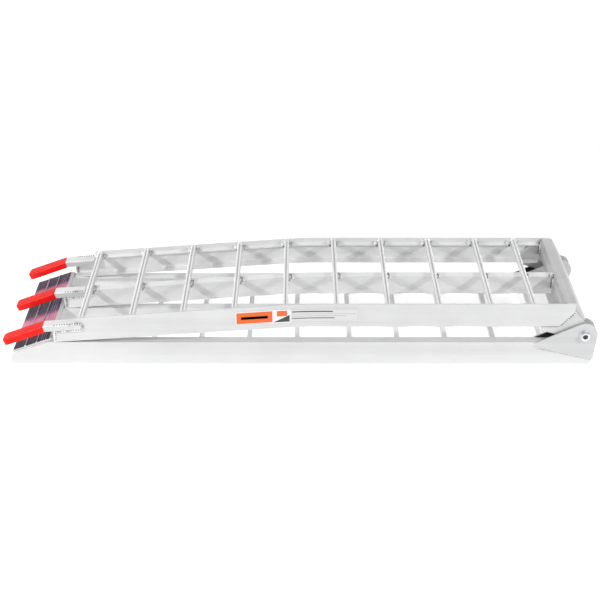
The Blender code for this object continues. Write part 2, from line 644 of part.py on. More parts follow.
def hinge(label, side):
    """One side hinge: two lower plates straddle the upper plate on a through bolt."""
    hole = circle(PIN, HOLE_RADIUS)
    outer = [lower_outer_outline(), hole]
    inner = [lower_inner_outline(), hole]
    finish_object(
        f"lower_hinge_plate_outer_{label}", side_plate(outer, side, LOWER_OUTER_PLATE), "aluminium")
    finish_object(
        f"lower_hinge_plate_inner_{label}", side_plate(inner, side, LOWER_INNER_PLATE), "aluminium")
    upper = [upper_plate_outline(), hole]
    finish_object(f"upper_hinge_plate_{label}", side_plate(upper, side, UPPER_PLATE), "aluminium")

    liner = [liner_outline()]
    outer_liner = (HALF_WIDTH - LINER_THICK, HALF_WIDTH)
    inner_liner = (FLANGE_INNER, FLANGE_INNER + LINER_THICK)
    finish_object(f"hinge_liner_outer_{label}", side_plate(liner, side, outer_liner), "black_nylon")
    finish_object(f"hinge_liner_inner_{label}", side_plate(liner, side, inner_liner), "black_nylon")

    thrust = (UPPER_PLATE[1] + GAP, outer_liner[0] - GAP)
    turned(f"thrust_washer_{label}", side, thrust, WASHER_RADIUS, HOLE_RADIUS, "steel")
    bush = (inner_liner[1] + GAP, UPPER_PLATE[0] - GAP)
    turned(f"spacer_bush_{label}", side, bush, BUSH_RADIUS, HOLE_RADIUS, "steel")
    washer = (LOWER_OUTER_PLATE[1] + GAP, LOWER_OUTER_PLATE[1] + GAP + WASHER_THICK)
    turned(f"hinge_washer_{label}", side, washer, WASHER_RADIUS, HOLE_RADIUS, "steel")

    corner = HEAD_FLATS / 2 / math.cos(math.pi / HEX_SIDES)
    nut = (LOWER_INNER_PLATE[0] - GAP - NUT_HEIGHT, LOWER_INNER_PLATE[0] - GAP)
    turned(f"hinge_nut_{label}", side, nut, corner, HOLE_RADIUS, "steel", sides=HEX_SIDES)
    head = (washer[1] + GAP, washer[1] + GAP + HEAD_HEIGHT)
    shank = (nut[0] - BOLT_END, head[0] + BOLT_LAP)
    mesh = cylinder(side, head, corner, HEX_SIDES)
    mesh = combined(mesh, cylinder(side, shank, BOLT_RADIUS, CIRCLE_STEPS), "UNION")
    finish_object(f"hinge_bolt_{label}", mesh, "steel")


def label_sticker():
    """Rectangular sticker on the near rail's outer face, following the bend."""
    low = -LABEL_TOP - LABEL_HEIGHT
    outline = [
        (LABEL_LOW_X, low), (LABEL_HIGH_X, low), (LABEL_HIGH_X, -LABEL_TOP), (LABEL_LOW_X, -LABEL_TOP)]
    face = (HALF_WIDTH + GAP, HALF_WIDTH + 2 * GAP)
    mesh = side_plate([outline], -1, face)
    mesh = sheared(mesh, BEND_STATIONS, arch)
    return finish_object("label", mesh, "label")


def main():
    clear_scene()
    for label, side in RAILS.items():
        lower_rail(f"lower_rail_{label}", side)
        upper_rail(f"upper_rail_{label}", side)
        finger(label, side)
    rungs()
    cross_members()
    ground_plate()
    for label, side in (("near", -1), ("far", 1)):
        hinge(label, side)
    label_sticker()
    hang_upper_section()


main()
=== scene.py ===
"""Looks for the folding loading ramp: mill-finish aluminium rails and rungs, rippled weld beads, red
vinyl covers on the fingers, a dark ribbed foot plate and bolted side hinges, on a pale floor in soft
studio light.

+X runs from the fingers to the hinges, +Y from the near side to the far side, +Z up. Metres.
"""
import json
import math

import bmesh
import bpy
from mathutils import Matrix, Vector, noise


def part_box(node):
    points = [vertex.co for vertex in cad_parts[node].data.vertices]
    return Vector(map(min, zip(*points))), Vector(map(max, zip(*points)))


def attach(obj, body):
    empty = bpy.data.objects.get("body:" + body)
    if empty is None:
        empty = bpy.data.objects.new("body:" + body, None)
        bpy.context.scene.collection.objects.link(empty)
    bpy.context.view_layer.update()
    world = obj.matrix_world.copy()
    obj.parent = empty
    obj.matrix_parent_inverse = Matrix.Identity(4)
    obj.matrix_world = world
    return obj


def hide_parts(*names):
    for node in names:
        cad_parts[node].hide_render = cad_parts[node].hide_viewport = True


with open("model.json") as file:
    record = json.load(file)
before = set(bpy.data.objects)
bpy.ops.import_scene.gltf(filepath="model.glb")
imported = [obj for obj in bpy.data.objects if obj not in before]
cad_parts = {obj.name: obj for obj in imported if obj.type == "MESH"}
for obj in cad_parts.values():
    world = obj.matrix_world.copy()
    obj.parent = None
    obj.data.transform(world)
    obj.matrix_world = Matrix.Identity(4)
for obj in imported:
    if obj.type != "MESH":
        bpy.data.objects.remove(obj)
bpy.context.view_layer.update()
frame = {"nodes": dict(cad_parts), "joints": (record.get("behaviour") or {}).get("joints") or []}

LOWER, UPPER = "lower_section", "upper_section"
MM = 0.001
nodes = frame["nodes"]
pin_x, _, pin_z = frame["joints"][0]["pos_m"]

# Sizes that part.py also has
GAP = 0.3 * MM                      # between pieces that touch
HALF_LENGTH = 593 * MM
HALF_WIDTH = 147.5 * MM
WEB_INNER = 144.9 * MM
MIDDLE_Y = -10 * MM                 # web of the middle rails
RAIL_HEIGHT = 51 * MM
UPPER_LEFT_X = -490.5 * MM
BEND_START_X, BEND_END_X = -41 * MM, 49 * MM
LEFT_TREAD_Z, TREAD_Z = 102.3 * MM, 138 * MM
RUNG_DROP = 12.3 * MM               # from the tread to the flange under the rungs
FINGER_BEND_X = -507.5 * MM
FINGER_ROOT_X = -446 * MM
FINGER_DIP = math.radians(20.4)
FINGER_WIDTH, FINGER_LEG, FINGER_THICK = 25 * MM, 12.5 * MM, 3 * MM
TONGUE_END_X = -431.5 * MM
TONGUE_LAP = 12 * MM
TONGUE_TOP = 2 * MM                 # below the top of the finger
COVER_THICK = 1.3 * MM
COVER_TIP_ROUND = 11 * MM
COVER_END = 2 * MM                  # from the bend to the inner end of the cover
BEVEL_LOW, BEVEL_HIGH = Vector((-573.5 * MM, 25 * MM)), Vector((-501 * MM, RAIL_HEIGHT))
PLATE_THICK = 5 * MM
PLATE_HALF_WIDTH = 143 * MM
BEAM_LEFT_X, BEAM_TOP_X = 524.5 * MM, 546.5 * MM
BEAM_DEPTH = 39.5 * MM
BEAM_STEP = 4 * MM                  # short upright foot of the sloping end face
BOLT_RADIUS = 5 * MM
HEAD_FLATS, HEAD_HEIGHT = 17 * MM, 6.4 * MM

SIDES = (("near", -1), ("far", 1))
BEND_LENGTH = BEND_END_X - BEND_START_X
ARCH_SLOPE = (TREAD_Z - LEFT_TREAD_Z) / ((BEND_START_X - UPPER_LEFT_X) + BEND_LENGTH / 2)


def arch(x):
    """Height of the upper section's tread."""
    if x <= BEND_START_X:
        return LEFT_TREAD_Z + ARCH_SLOPE * (x - UPPER_LEFT_X)
    if x >= BEND_END_X:
        return TREAD_Z
    left = (BEND_END_X - x) / BEND_LENGTH
    return TREAD_Z - ARCH_SLOPE * BEND_LENGTH * left * left / 2


def arch_angle(x):
    """Slope of the tread at x, as an angle."""
    return math.atan((arch(x + MM) - arch(x - MM)) / (2 * MM))


# ---------------------------------------------------------------- material tools

def add_node(tree, kind, inputs=None, **settings):
    made = tree.nodes.new(kind)
    for key, value in settings.items():
        setattr(made, key, value)
    for key, value in (inputs or {}).items():
        if hasattr(value, "is_linked"):
            tree.links.new(value, made.inputs[key])
        else:
            made.inputs[key].default_value = value
    return made


def new_material(name, **values):
    """A material and its tools: the tree, the Principled shader and the object coordinates."""
    made = bpy.data.materials.new(name)
    made.use_nodes = True
    tree = made.node_tree
    shader = tree.nodes["Principled BSDF"]
    for key, value in values.items():
        shader.inputs[key.replace("_", " ")].default_value = value
    place = tree.nodes.new("ShaderNodeTexCoord").outputs["Object"]
    return made, tree, shader, place


def noise_fac(tree, place, scale, detail=3.0, turn=(0, 0, 0), roughness=0.5):
    """Noise in object space; scale is cells per metre along X, Y and Z."""
    mapping = add_node(tree, "ShaderNodeMapping", {"Vector": place, "Scale": scale, "Rotation": turn})
    made = add_node(tree, "ShaderNodeTexNoise", {
        "Vector": mapping.outputs["Vector"], "Scale": 1.0, "Detail": detail, "Roughness": roughness})
    return made.outputs["Fac"]


def spread(tree, value, low, high, to_low, to_high):
    """Map the range low to high onto to_low to to_high, and clamp."""
    return add_node(tree, "ShaderNodeMapRange", {
        "Value": value, "From Min": low, "From Max": high,
        "To Min": to_low, "To Max": to_high}).outputs["Result"]


def maths(tree, operation, a, b):
    return add_node(tree, "ShaderNodeMath", {0: a, 1: b}, operation=operation).outputs[0]


def mix_colour(tree, fac, a, b):
    """Mix two colours, each a tuple or another node's output."""
    made = add_node(tree, "ShaderNodeMix", data_type="RGBA")
    tree.links.new(fac, made.inputs["Factor"])
    first_colour, second_colour = made.inputs[6], made.inputs[7]
    for socket, value in ((first_colour, a), (second_colour, b)):
        if isinstance(value, tuple):
            socket.default_value = (*value, 1)
        else:
            tree.links.new(value, socket)
    return made.outputs[2]


def surface(tree, shader, colour, roughness, height, strength, distance):
    """Link the colour, the roughness and the bump to the shader."""
    tree.links.new(colour, shader.inputs["Base Color"])
    tree.links.new(roughness, shader.inputs["Roughness"])
    made = add_node(tree, "ShaderNodeBump", {
        "Height": height, "Strength": strength, "Distance": distance})
    tree.links.new(made.outputs["Normal"], shader.inputs["Normal"])


# ---------------------------------------------------------------- materials

def aluminium(name, axis, dark, light, rough=(0.36, 0.52), metallic=0.35):
    """Mill-finish extrusion: die lines along axis (0 X, 1 Y), cloudy handling marks and a few fine
    scratches."""
    made, tree, shader, place = new_material(name, Metallic=metallic)

    def along(across, length):
        return tuple(length if index == axis else across for index in range(3))

    bands = noise_fac(tree, place, along(70, 1.2), 2)
    lines = noise_fac(tree, place, along(900, 5), 4, roughness=0.65)
    clouds = noise_fac(tree, place, (11, 11, 16), 4, roughness=0.6)
    scratches = noise_fac(tree, place, along(420, 16), 2, turn=(0.06, 0.09, 0.05))
    scratch = spread(tree, scratches, 0.68, 0.74, 0, 1)
    tone = maths(tree, "ADD", spread(tree, bands, 0.3, 0.7, 0, 0.36), spread(tree, lines, 0.3, 0.7, 0, 0.26))
    tone = maths(tree, "ADD", tone, spread(tree, clouds, 0.3, 0.7, 0, 0.38))
    gloss = maths(tree, "ADD", maths(tree, "MULTIPLY", clouds, 0.6), maths(tree, "MULTIPLY", lines, 0.4))
    gloss = maths(tree, "SUBTRACT", gloss, maths(tree, "MULTIPLY", scratch, 0.15))
    height = maths(tree, "SUBTRACT", maths(tree, "ADD", lines, bands), scratch)
    surface(tree, shader, mix_colour(tree, tone, dark, light), spread(tree, gloss, 0.3, 0.7, *rough),
            height, 0.16, 0.0004)
    return made


def weld_metal():
    """Freshly welded aluminium: bright, lumpy and with a little soot in its hollows."""
    made, tree, shader, place = new_material("weld_metal", Metallic=0.35)
    lumps = noise_fac(tree, place, (420, 420, 420), 3)
    soot = noise_fac(tree, place, (90, 90, 90), 4, roughness=0.65)
    clean = spread(tree, soot, 0.36, 0.50, 0, 1)
    colour = mix_colour(tree, clean, (0.34, 0.34, 0.344), (0.78, 0.78, 0.782))
    surface(tree, shader, colour, spread(tree, lumps, 0.3, 0.7, 0.24, 0.44), lumps, 0.45, 0.0006)
    return made


def red_vinyl():
    """Dipped vinyl: glossy, softly uneven, darker where the dip has run thick."""
    made, tree, shader, place = new_material(
        "red_vinyl", IOR=1.25, Subsurface_Weight=0.03, Subsurface_Radius=(0.004, 0.001, 0.0008))
    runs = noise_fac(tree, place, (26, 60, 60), 3)
    peel = noise_fac(tree, place, (520, 520, 520), 2)
    scuff = noise_fac(tree, place, (70, 150, 150), 4, roughness=0.7)
    colour = mix_colour(tree, spread(tree, runs, 0.3, 0.7, 0, 1), (0.55, 0.004, 0.002), (0.72, 0.011, 0.005))
    colour = mix_colour(tree, spread(tree, scuff, 0.60, 0.72, 0, 0.35), colour, (0.90, 0.05, 0.035))
    height = maths(tree, "ADD", runs, maths(tree, "MULTIPLY", peel, 0.12))
    surface(tree, shader, colour, spread(tree, scuff, 0.35, 0.7, 0.26, 0.46), height, 0.3, 0.0012)
    return made


PAINTED_REFLECTION_EDGES = (-88 * MM, 34 * MM)               # Y where each stripe of painted pink reflection starts
PAINTED_REFLECTION_RISE = (-4 * MM, 2 * MM)                  # from there
PAINTED_REFLECTION_FADE = (46 * MM, 70 * MM)


def dark_plate():
    """Dark violet coating with faint lines across, and a painted pink reflection in two broad stripes
    that fade towards the far side."""
    made, tree, shader, place = new_material("dark_plate", Specular_IOR_Level=0.18)
    clouds = noise_fac(tree, place, (45, 45, 45), 4)
    lines = noise_fac(tree, place, (500, 6, 500), 3)
    tone = maths(tree, "ADD", maths(tree, "MULTIPLY", clouds, 0.65), maths(tree, "MULTIPLY", lines, 0.35))
    tone = spread(tree, tone, 0.35, 0.65, 0, 1)
    colour = mix_colour(tree, tone, (0.026, 0.015, 0.036), (0.066, 0.040, 0.080))
    across = add_node(tree, "ShaderNodeSeparateXYZ", {"Vector": place}).outputs["Y"]
    cloudy = maths(tree, "MULTIPLY", maths(tree, "SUBTRACT", clouds, 0.5), 0.03)
    across = maths(tree, "ADD", across, cloudy)
    # Painted reflection: two pink stripes mixed into the base colour
    for edge in PAINTED_REFLECTION_EDGES:
        rising = spread(tree, across, edge + PAINTED_REFLECTION_RISE[0], edge + PAINTED_REFLECTION_RISE[1], 0, 1)
        fading = spread(tree, across, edge + PAINTED_REFLECTION_FADE[0], edge + PAINTED_REFLECTION_FADE[1], 0.84, 0)
        colour = mix_colour(tree, maths(tree, "MULTIPLY", rising, fading), colour, (0.60, 0.25, 0.34))
    surface(tree, shader, colour, spread(tree, lines, 0.3, 0.7, 0.22, 0.36), lines, 0.05, 0.0002)
    return made


def painted_rib_highlight():
    """The tops of the foot plate's ribs, coloured lighter than the coating as a painted highlight."""
    made, tree, shader, place = new_material("painted_rib_highlight", Metallic=0.3)
    painted_highlight = noise_fac(tree, place, (90, 25, 90), 4, roughness=0.6)
    colour = mix_colour(tree, spread(tree, painted_highlight, 0.35, 0.65, 0, 1), (0.20, 0.15, 0.25), (0.42, 0.35, 0.48))
    surface(tree, shader, colour, spread(tree, painted_highlight, 0.3, 0.7, 0.22, 0.4), painted_highlight, 0.2, 0.0003)
    return made


def zinc_plate():
    """Zinc-plated steel with a faint spangle."""
    made, tree, shader, place = new_material("zinc_bright", Metallic=1.0)
    spangle = noise_fac(tree, place, (330, 330, 330), 4, roughness=0.6)
    wear = noise_fac(tree, place, (900, 900, 900), 3)
    colour = mix_colour(tree, spread(tree, spangle, 0.3, 0.7, 0, 1), (0.62, 0.63, 0.66), (0.82, 0.83, 0.85))
    surface(tree, shader, colour, spread(tree, wear, 0.3, 0.7, 0.20, 0.36), wear, 0.15, 0.0002)
    return made


def dull(name, dark, light, rough=(0.3, 0.42), cells=500):
    """A matt plastic or printed film with a fine grain."""
    made, tree, shader, place = new_material(name)
    grain = noise_fac(tree, place, (cells, cells, cells), 4, roughness=0.6)
    colour = mix_colour(tree, spread(tree, grain, 0.3, 0.7, 0, 1), dark, light)
    surface(tree, shader, colour, spread(tree, grain, 0.3, 0.7, *rough), grain, 0.12, 0.0002)
    return made


ALU_X = aluminium("aluminium_rails", 0, (0.50, 0.502, 0.504), (0.62, 0.622, 0.624))
ALU_Y = aluminium("aluminium_cross_members", 1, (0.36, 0.36, 0.365), (0.66, 0.66, 0.663))
ALU_RUNG = aluminium("aluminium_rungs", 1, (0.54, 0.54, 0.544), (0.72, 0.72, 0.723))
# Lower rungs: a lighter copy of the rung aluminium, painted light against the shade under the upper section
ALU_RUNG_LOW_BRIGHTENED = aluminium("aluminium_lower_rungs_brightened", 1, (0.74, 0.74, 0.744), (0.90, 0.90, 0.903))
# Rung ridges: lighter, as a painted highlight. Rung groove: darker, as painted shade
RIDGE_HIGHLIGHT = aluminium("aluminium_rung_ridges_highlit", 1, (0.74, 0.74, 0.742), (0.90, 0.90, 0.902), (0.22, 0.38), 0.5)
GROOVE_SHADE = aluminium("aluminium_rung_grooves_shaded", 1, (0.42, 0.42, 0.424), (0.56, 0.56, 0.563))
# Middle and far rails: a lighter copy of the rail aluminium, painted light against the shade the near rail
# and rungs cast
ALU_INNER_BRIGHTENED = aluminium("aluminium_inner_rails_brightened", 0, (0.66, 0.662, 0.664), (0.80, 0.802, 0.804))
ALU_PLATE = aluminium("aluminium_hinge_plates", 0, (0.44, 0.443, 0.446), (0.56, 0.562, 0.564))
ALU_GUSSET = aluminium("aluminium_gussets", 0, (0.47, 0.473, 0.476), (0.60, 0.602, 0.604))
ALU_FINGER = aluminium("aluminium_fingers", 0, (0.49, 0.493, 0.496), (0.57, 0.572, 0.574))
# Finger tops: a lighter copy of the finger aluminium than the sides, painted light falling from above
ALU_FINGER_TOP_LIT = aluminium("aluminium_finger_tops_lit", 0, (0.64, 0.642, 0.645), (0.75, 0.752, 0.754))
WELD = weld_metal()
# Dark beads beside the welds: painted shadow, with some soot
SOOT_AND_SHADOW = dull("weld_soot_and_painted_shadow", (0.05, 0.05, 0.052), (0.22, 0.22, 0.224), (0.4, 0.6), 240)
RED = red_vinyl()
DARK = dark_plate()
RIB_HIGHLIT_TOPS = painted_rib_highlight()
ZINC = zinc_plate()
# Near-black: painted shade in the bolt sockets, and the colour of the hinge liners
NEAR_BLACK = dull("black_nylon", (0.006, 0.006, 0.007), (0.022, 0.022, 0.024), (0.45, 0.65), 300)
LABEL_WHITE = dull("label_white", (0.62, 0.62, 0.623), (0.70, 0.70, 0.702))
LABEL_ORANGE = dull("label_orange", (0.60, 0.085, 0.006), (0.72, 0.12, 0.010))
LABEL_FILM = dull("label_film", (0.52, 0.52, 0.523), (0.58, 0.58, 0.582))
LABEL_DARK = dull("label_dark", (0.02, 0.02, 0.022), (0.06, 0.06, 0.062))
LABEL_GREY = dull("label_grey", (0.30, 0.30, 0.31), (0.42, 0.42, 0.43))


# ---------------------------------------------------------------- building tools

def mesh_from(work, name):
    """Close a bmesh into a mesh with its faces pointing out."""
    bmesh.ops.recalc_face_normals(work, faces=work.faces)
    mesh = bpy.data.meshes.new(name)
    work.to_mesh(mesh)
    work.free()
    return mesh


def placed(name, mesh, body, materials, stands_for=(), smooth=40, matrix=None):
    """Put a mesh in the scene as a piece that rides on a body, shaded smooth up to an angle."""
    if not mesh.materials:
        for item in materials:
            mesh.materials.append(item)
        mesh.shade_smooth()
        mesh.set_sharp_from_angle(angle=math.radians(smooth))
    made = bpy.data.objects.new(name, mesh)
    bpy.context.scene.collection.objects.link(made)
    made.modifiers.new("flat_faces", "WEIGHTED_NORMAL").keep_sharp = True
    if matrix is not None:
        made.matrix_world = matrix
    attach(made, body)
    if stands_for:
        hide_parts(*stands_for)
    return made


def piece(name, work, body, materials, stands_for=(), smooth=40):
    """Turn a bmesh into one piece that rides on a body."""
    return placed(name, mesh_from(work, name), body, materials, stands_for, smooth)


def loft(work, rings, material=0, closed=False, columns=None):
    """Join rings of points with quads and cap the two ends; closed joins the last to the first.
    columns gives the material of each strip of faces along the loft, where they differ."""
    made = [[work.verts.new(point) for point in ring] for ring in rings]
    count = len(made[0])
    pairs = list(zip(made, made[1:]))
    if closed:
        pairs.append((made[-1], made[0]))
    for first, second in pairs:
        for index in range(count):
            after = (index + 1) % count
            face = work.faces.new((first[index], first[after], second[after], second[index]))
            face.material_index = columns[index] if columns else material
    if not closed:
        for ring in (list(reversed(made[0])), made[-1]):
            work.faces.new(ring).material_index = material


def resampled(points, spacing):
    """Points at an even spacing along a polyline, with the distance of each, and its length."""
    points = [Vector(point) for point in points]
    lengths = [0.0]
    for before, after in zip(points, points[1:]):
        lengths.append(lengths[-1] + (after - before).length)
    count = max(4, round(lengths[-1] / spacing))
    places = []
    for step in range(count + 1):
        target = lengths[-1] * step / count
        index = min(i for i in range(1, len(points)) if lengths[i] >= target - 1e-9)
        share = (target - lengths[index - 1]) / max(lengths[index] - lengths[index - 1], 1e-9)
        places.append((points[index - 1].lerp(points[index], share), target))
    return places, lengths[-1]


def arc_points(centre, radius, start, end, steps=10):
    """(u, v) points on an arc, angles in degrees."""
    angles = [math.radians(start + (end - start) * step / steps) for step in range(steps + 1)]
    return [(centre[0] + radius * math.cos(angle), centre[1] + radius * math.sin(angle)) for angle in angles]


# ---------------------------------------------------------------- weld beads

BEAD_STEP = 0.75 * MM               # between the rings of a bead
RIPPLE = 1.9 * MM
BEAD_SIDES = 9
SPECK = 1.7 * MM                    # half the length of a dark speck of painted shadow and soot
SKEW = Vector((0.31, 0.17, 0.93))   # no bead runs along this


def bead(work, points, radius, seed=0.0):
    """A rippled, lumpy weld bead along a path, with rounded ends."""
    places, total = resampled(points, BEAD_STEP)
    rings = []
    for index, (place, along) in enumerate(places):
        before = places[max(index - 1, 0)][0]
        after = places[min(index + 1, len(places) - 1)][0]
        tangent = (after - before).normalized()
        side = tangent.cross(SKEW).normalized()
        up = side.cross(tangent)
        end = min(along, total - along) / (1.4 * radius)
        taper = math.sqrt(max(1 - (1 - min(end, 1)) ** 2, 0.03))
        swell = 0.88 + 0.16 * abs(math.sin(math.pi * along / RIPPLE + seed))
        ring = []
        for step in range(BEAD_SIDES):
            angle = 2 * math.pi * step / BEAD_SIDES
            lump = noise.noise(place * 330 + Vector((seed * 7, angle, seed)))
            size = radius * taper * swell * (1 + 0.22 * lump)
            ring.append(place + (side * math.cos(angle) + up * math.sin(angle)) * size)
        rings.append(ring)
    loft(work, rings)


def bead_and_painted_shadow(work, points, radius, seed, drift, dots=False, share=0.72):
    """A bead with a thinner dark one beside it, painted shadow of the bead and undercut with some soot.
    drift is where that one lies, in radii; with dots, it is broken into specks between the ripples."""
    bead(work, points, radius, seed)
    clean = len(work.faces)
    offset = Vector(drift) * radius
    beside = [Vector(point) + offset for point in points]
    if dots:
        places = [place for place, _ in resampled(beside, SPECK)[0]]
        for index in range(0, len(places) - 2, 3):
            size = radius * (0.68 + 0.22 * abs(math.sin(index)))
            bead(work, places[index:index + 3], size, seed + index)
    else:
        bead(work, beside, radius * share, seed + 1)
    work.faces.ensure_lookup_table()
    for face in work.faces[clean:]:
        face.material_index = 1


def weld(name, body, runs, drift=(0.35, 0, -0.75), dots=False):
    """One piece made of several beads, each (points, radius), each with a dark bead of painted shadow beside
    it.
    """
    work = bmesh.new()
    for index, (points, radius) in enumerate(runs):
        bead_and_painted_shadow(work, points, radius, index * 1.7 + len(name), drift, dots)
    return piece(name, work, body, [WELD, SOOT_AND_SHADOW], smooth=60)


# ---------------------------------------------------------------- pieces that keep their CAD shapes

def dressed(name, material, width):
    """A CAD node with its own shape: a better material and rounded edges."""
    item = nodes[name]
    item.data.materials.clear()
    item.data.materials.append(material)
    change = item.modifiers.new("edge", "BEVEL")
    change.width = width
    change.segments = 2
    change.limit_method = "ANGLE"
    change.angle_limit = math.radians(25)
    item.data.shade_smooth()
    item.data.set_sharp_from_angle(angle=math.radians(30))


# The middle and far rails take the lighter copy, painted light against their shade
for label, metal in (("near", ALU_X), ("middle", ALU_INNER_BRIGHTENED), ("far", ALU_INNER_BRIGHTENED)):
    dressed(f"lower_rail_{label}", metal, 0.4 * MM)
    dressed(f"upper_rail_{label}", metal, 0.4 * MM)
for name in ("lower_cross_member", "upper_cross_member"):
    dressed(name, ALU_Y, 0.7 * MM)
for label, _ in SIDES:
    for name in ("lower_hinge_plate_outer", "lower_hinge_plate_inner"):
        dressed(f"{name}_{label}", ALU_PLATE, 0.5 * MM)
    dressed(f"upper_hinge_plate_{label}", ALU_GUSSET, 0.5 * MM)
    # The liners between the hinge plates are coloured near-black
    for name in ("hinge_liner_outer", "hinge_liner_inner"):
        dressed(f"{name}_{label}", NEAR_BLACK, 0.2 * MM)
    for name in ("thrust_washer", "spacer_bush"):
        dressed(f"{name}_{label}", ZINC, 0.2 * MM)


# ---------------------------------------------------------------- rungs

RUNG_REACH = 144.5 * MM
TOOTH = 6 * MM                      # pitch of the serrations
# Along one tooth, in mm: where its top starts and ends, and where the cut after it does
TOOTH_MARKS = ((0.3, False), (3.2, False), (3.8, True), (5.7, True))
CUT_TOP = -1.5                      # height of a cut, in mm
# Half of the section in mm: the groove's floor, over one ridge and its shoulder, down the side
RUNG_HALF = [(0.0, -1.8), (1.0, -1.8), (1.4, -0.4), (1.8, 0.0), (3.9, 0.0), (4.5, -0.5), (5.0, -1.4),
             (5.0, -11.2), (4.2, -12.0), (0.0, -12.0)]


def rung_mesh():
    """Rung along Y with its top at Z = 0: two serrated ridges with a groove between them."""
    outline = RUNG_HALF + [(-x, z) for x, z in reversed(RUNG_HALF[1:-1])]
    # The ridge tops take a painted highlight and the groove takes painted shade
    plain, painted_highlight, shaded_groove = 0, 1, 2
    strips = [shaded_groove, shaded_groove, painted_highlight, painted_highlight, painted_highlight, plain, plain, plain, plain]
    strips += list(reversed(strips))
    teeth = int(2 * RUNG_REACH / TOOTH)
    start = -teeth * TOOTH / 2
    stations = [(-RUNG_REACH, False)]
    for tooth in range(teeth):
        stations += [(start + tooth * TOOTH + mark * MM, cut) for mark, cut in TOOTH_MARKS]
    stations.append((RUNG_REACH, False))
    rings = [[(x * MM, y, min(z, CUT_TOP if cut else z) * MM) for x, z in outline] for y, cut in stations]
    work = bmesh.new()
    loft(work, rings, columns=strips)
    return mesh_from(work, "rung")


def corner_bead(side, hand, radius):
    """Path of the bead down one corner between a rung and an outer rail's web."""
    web = side * WEB_INNER
    edge = hand * (3.2 * MM + radius)
    return [(edge - hand * 2 * MM, web - side * 2.4 * MM, -1.2 * MM - radius),
            (edge + hand * 0.8 * MM, web - side * 1.6 * MM, -7.5 * MM),
            (edge + hand * 0.2 * MM, web - side * 3.4 * MM, -10.6 * MM),
            (edge, web - side * 8.5 * MM, -11.4 * MM)]


def rung_weld_mesh(seed):
    """The beads that hold one rung: at the two outer webs and ledges, and on the middle rail."""
    work = bmesh.new()
    for side in (-1, 1):
        for hand, radius, share in ((-1, 5.8 * MM, 0.72), (1, 3.6 * MM, 0.45)):
            bead_and_painted_shadow(work, corner_bead(side, hand, radius), radius, seed + side + hand * 0.4,
                   (0.3, 0, -0.5), share=share)
        web = side * WEB_INNER
        cap = [(-8.0 * MM, web - side * 2.0 * MM, -4.6 * MM), (0, web - side * 3.6 * MM, -3.9 * MM),
               (5.0 * MM, web - side * 2.0 * MM, -4.2 * MM)]
        bead(work, cap, 3.7 * MM, seed + side * 2)
    flange = -RUNG_DROP + 0.8 * MM
    # Round the rung's right side on the middle rail, in mm from the top of its flange
    hook = [(5.0, 6.0, 0), (9.6, 4.6, 0), (12.4, 0.0, 0), (13.0, -6.0, 0), (12.6, -10.6, -1.4),
            (10.6, -11.2, -5.5), (6.0, -11.2, -7.5)]
    bead_and_painted_shadow(work, [(x * MM, y * MM, flange + z * MM) for x, y, z in hook], 2.2 * MM, seed + 3,
           (-0.75, 0, -0.2), share=0.55)
    bead(work, [(-5.3 * MM, -8.5 * MM, flange), (-5.5 * MM, 0, flange), (-5.3 * MM, 8.5 * MM, flange)],
         1.9 * MM, seed + 5)
    return mesh_from(work, "rung_weld")


def rung_place(section, low, high):
    """Matrix that puts a rung's mesh on its section's tread, between the corners of its node."""
    x = (low.x + high.x) / 2
    if section == "lower":
        return Matrix.Translation((x, 0, 0)) @ Matrix.Rotation(math.pi, 4, "Y")
    x += 6 * MM * math.sin(arch_angle(x))       # half the rung's height, leaning with the slope
    return Matrix.Translation((x, 0, arch(x))) @ Matrix.Rotation(-arch_angle(x), 4, "Y")


rung_shapes = {"upper": (rung_mesh(), ALU_RUNG), "lower": (rung_mesh(), ALU_RUNG_LOW_BRIGHTENED)}
weld_shapes = [rung_weld_mesh(seed * 2.3) for seed in range(3)]
for index in range(1, 11):
    for section, body in (("upper", UPPER), ("lower", LOWER)):
        node = f"{section}_rung_{index:02d}"
        matrix = rung_place(section, *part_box(node))
        shape, metal = rung_shapes[section]
        placed(f"{section}_tread_bar_{index:02d}", shape, body, [metal, RIDGE_HIGHLIGHT, GROOVE_SHADE],
               [node], 35, matrix)
        placed(f"{section}_rung_welds_{index:02d}", weld_shapes[index % 3], body,
               [WELD, SOOT_AND_SHADOW], (), 60, matrix)


# ---------------------------------------------------------------- fingers and their red covers

BEND_RADIUS = 18 * MM
CHANNEL_CORNER, CHANNEL_INNER = 2.4 * MM, 0.8 * MM          # its outer and inner corners
BAR_RIM, COVER_RIM = 0.6 * MM, 2.2 * MM         # rounding of the channel's feet
TIP_NARROW = 0.62                   # share of a cover's width left at its tip
TIP_DROP = 2.6 * MM                 # how far the top rounds down there
TIP_DEPTH = 0.15                    # share of its depth that a flattened layer keeps
BEND_STATIONS = 8
TIP_STATIONS = 6
CORNER_ANGLES = (0, 0.4, 0.8, 1.2, 1.571)       # radians round a corner of the channel
RIM_ANGLES = (0, 0.8, 1.571)
TOP_STRIPS = range(5, 10)           # of the channel's outline: its top and the corners beside it, where the bare fingers take their lighter painted-light colour
COVER_TIP = (HALF_LENGTH + FINGER_BEND_X - COVER_THICK * math.sin(FINGER_DIP)) / math.cos(FINGER_DIP)


